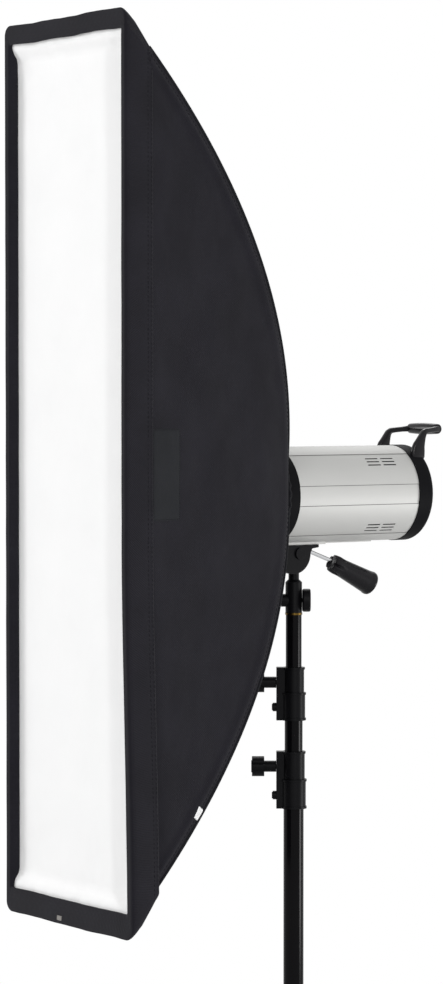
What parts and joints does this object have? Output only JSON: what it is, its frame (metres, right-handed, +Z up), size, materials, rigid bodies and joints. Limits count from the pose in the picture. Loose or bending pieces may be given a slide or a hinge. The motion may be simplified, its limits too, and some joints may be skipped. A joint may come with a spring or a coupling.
{
  "type": "studio softbox",
  "caption": "Tall strip softbox on a cylindrical flash head, with tilt bracket, clamp lever, carrying handle and a folding tripod light stand.",
  "frame": {"origin": "on the floor under the light stand's column, the middle of its rubber foot", "axes": "+Z up the column; the white front faces -Y and the control panel +Y; the clamp knobs of the column point to -X and -Y"},
  "size_m": [0.9938, 0.8644, 1.7627],
  "materials": {
    "black_metal": "satin black anodised tube",
    "black_cast": "matt black powder coat on cast metal",
    "black_plastic": "matt moulded nylon",
    "gloss_black": "glossy black moulding",
    "panel_black": "satin black panel",
    "dial_grey": "matt dark grey moulding",
    "button_red": "translucent red button",
    "rubber": "matt black rubber",
    "steel": "zinc plated steel",
    "chrome": "polished chrome",
    "brass": "turned brass",
    "silver_metal": "satin silver anodised extrusion",
    "white_metal": "white enamel",
    "glass": "clear glass",
    "frosted_glass": "frosted glass",
    "capacitor_sleeve": "shrunk blue sleeve",
    "board": "green laminate",
    "black_cloth": "black woven nylon",
    "white_cloth": "white diffusion nylon"
  },
  "bodies": {
    "base": {"column_tube": "black_metal", "column_foot": "rubber", "brace_collar": "black_plastic", "lower_collar": "black_plastic", "base_fasteners": "steel"},
    "leg_collar": {"leg_collar": "black_plastic", "leg_hinge_pins": "steel"},
    "leg_collar_knob": {"leg_collar_knob": "black_plastic"},
    "lower_knob": {"lower_knob": "black_plastic"},
    "mid_section": {"mid_tube": "black_metal", "upper_collar": "black_plastic", "upper_collar_bolt": "steel"},
    "upper_knob": {"upper_knob": "black_plastic"},
    "top_section": {"top_tube": "black_metal", "spigot": "brass"},
    "adapter": {"adapter": "black_cast"},
    "clamp_knob": {"clamp_knob": "black_plastic"},
    "head": {"tilt_bracket": "black_cast", "pivot_bolt": "steel", "mount_rail": "silver_metal", "body_shell": "silver_metal", "front_bezel": "black_plastic", "reflector_plate": "white_metal", "flash_tube": "glass", "modelling_lamp": "frosted_glass", "glass_cover": "glass", "chassis_plate": "silver_metal", "capacitors": "capacitor_sleeve", "circuit_board": "board", "rear_cap": "black_plastic", "rear_panel": "panel_black", "rear_sockets": "black_plastic", "fan_frame": "black_plastic", "handle": "gloss_black"},
    "lever": {"lever_rod": "chrome", "lever_grip": "black_plastic"},
    "power_dial": {"power_dial": "dial_grey"},
    "lamp_dial": {"lamp_dial": "dial_grey"},
    "test_button": {"test_button": "button_red"},
    "rocker_switch": {"rocker_switch": "gloss_black"},
    "fan_rotor": {"fan_rotor": "black_plastic"},
    "softbox": {"cloth_left": "black_cloth", "cloth_right": "black_cloth", "cloth_top": "black_cloth", "cloth_bottom": "black_cloth", "front_hem": "black_cloth", "front_diffuser": "white_cloth", "inner_baffle": "white_cloth", "spring_rods": "steel", "speed_ring": "silver_metal"},
    "ring_lock": {"ring_lock": "black_plastic"},
    "leg_1": {"leg_1": "black_metal", "foot_1": "rubber"},
    "brace_1": {"brace_1": "black_metal"},
    "leg_2": {"leg_2": "black_metal", "foot_2": "rubber"},
    "brace_2": {"brace_2": "black_metal"},
    "leg_3": {"leg_3": "black_metal", "foot_3": "rubber"},
    "brace_3": {"brace_3": "black_metal"}
  },
  "joints": [
    {"name": "leg_collar_slide", "type": "slide", "parent": "base", "child": "leg_collar", "axis": [0, 0, 1], "range_m": [0, 0.2985]},
    {"name": "leg_1_fold", "type": "hinge", "parent": "leg_collar", "child": "leg_1", "pos_m": [0, -0.038, 0.314], "axis": [1, 0, 0], "range_deg": [0, 56.1]},
    {"name": "brace_1_fold", "type": "hinge", "parent": "base", "child": "brace_1", "pos_m": [0, -0.038, 0.014], "axis": [-1, 0, 0], "range_deg": [0, 56.1]},
    {"name": "leg_2_fold", "type": "hinge", "parent": "leg_collar", "child": "leg_2", "pos_m": [0.03291, 0.019, 0.314], "axis": [-0.5, 0.866, 0], "range_deg": [0, 56.1]},
    {"name": "brace_2_fold", "type": "hinge", "parent": "base", "child": "brace_2", "pos_m": [0.03291, 0.019, 0.014], "axis": [0.5, -0.866, 0], "range_deg": [0, 56.1]},
    {"name": "leg_3_fold", "type": "hinge", "parent": "leg_collar", "child": "leg_3", "pos_m": [-0.03291, 0.019, 0.314], "axis": [-0.5, -0.866, 0], "range_deg": [0, 56.1]},
    {"name": "brace_3_fold", "type": "hinge", "parent": "base", "child": "brace_3", "pos_m": [-0.03291, 0.019, 0.014], "axis": [0.5, 0.866, 0], "range_deg": [0, 56.1]},
    {"name": "leg_collar_knob_turn", "type": "hinge", "parent": "leg_collar", "child": "leg_collar_knob", "pos_m": [0, 0.03, 0.334], "axis": [0, 1, 0], "range_deg": [0, 360]},
    {"name": "lower_knob_turn", "type": "hinge", "parent": "base", "child": "lower_knob", "pos_m": [-0.01699, -0.02472, 0.7482], "axis": [-0.5664, -0.8241, 0], "range_deg": [0, 360]},
    {"name": "mid_section_slide", "type": "slide", "parent": "base", "child": "mid_section", "axis": [0, 0, 1], "range_m": [-0.042, 0.48]},
    {"name": "upper_knob_turn", "type": "hinge", "parent": "mid_section", "child": "upper_knob", "pos_m": [-0.01699, -0.02472, 0.865], "axis": [-0.5664, -0.8241, 0], "range_deg": [0, 360]},
    {"name": "top_section_slide", "type": "slide", "parent": "mid_section", "child": "top_section", "axis": [0, 0, 1], "range_m": [-0.03, 0.5]},
    {"name": "swivel", "type": "hinge", "parent": "top_section", "child": "adapter", "pos_m": [0, 0, 0.9821], "axis": [0, 0, 1], "continuous": true},
    {"name": "clamp_knob_turn", "type": "hinge", "parent": "adapter", "child": "clamp_knob", "pos_m": [0.01019, 0.01483, 0.9789], "axis": [0.5664, 0.8241, 0], "range_deg": [0, 360]},
    {"name": "tilt", "type": "hinge", "parent": "adapter", "child": "head", "pos_m": [0, 0, 1.0441], "axis": [1, 0, 0], "range_deg": [-40, 15]},
    {"name": "lever_turn", "type": "hinge", "parent": "head", "child": "lever", "pos_m": [0, 0.03739, 1.0419], "axis": [0, 0.9348, -0.3551], "range_deg": [0, 180]},
    {"name": "ring_turn", "type": "hinge", "parent": "head", "child": "softbox", "pos_m": [0, -0.082, 1.1251], "axis": [0, 1, 0], "range_deg": [-90, 90]},
    {"name": "ring_lock_turn", "type": "hinge", "parent": "softbox", "child": "ring_lock", "pos_m": [0, -0.082, 1.0531], "axis": [0, 0, -1], "range_deg": [0, 360]},
    {"name": "power_dial_turn", "type": "hinge", "parent": "head", "child": "power_dial", "pos_m": [-0.024, 0.196, 1.1451], "axis": [0, 1, 0], "range_deg": [0, 270]},
    {"name": "lamp_dial_turn", "type": "hinge", "parent": "head", "child": "lamp_dial", "pos_m": [0.024, 0.196, 1.1451], "axis": [0, 1, 0], "range_deg": [0, 270]},
    {"name": "rocker_switch_tip", "type": "hinge", "parent": "head", "child": "rocker_switch", "pos_m": [-0.018, 0.187, 1.0991], "axis": [1, 0, 0], "range_deg": [-12, 0]},
    {"name": "test_button_press", "type": "slide", "parent": "head", "child": "test_button", "axis": [0, -1, 0], "range_m": [0, 0.002], "stiffness_N_per_m": 400, "springref_m": -0.001},
    {"name": "fan_spin", "type": "hinge", "parent": "head", "child": "fan_rotor", "pos_m": [0, 0.14, 1.1251], "axis": [0, 1, 0], "continuous": true}
  ],
  "couplings": [
    {"joint": "leg_1_fold", "follows": "leg_collar_slide", "rad_per_m": 3.2743},
    {"joint": "brace_1_fold", "follows": "leg_collar_slide", "rad_per_m": 3.2743},
    {"joint": "leg_2_fold", "follows": "leg_collar_slide", "rad_per_m": 3.2743},
    {"joint": "brace_2_fold", "follows": "leg_collar_slide", "rad_per_m": 3.2743},
    {"joint": "leg_3_fold", "follows": "leg_collar_slide", "rad_per_m": 3.2743},
    {"joint": "brace_3_fold", "follows": "leg_collar_slide", "rad_per_m": 3.2743}
  ]
}
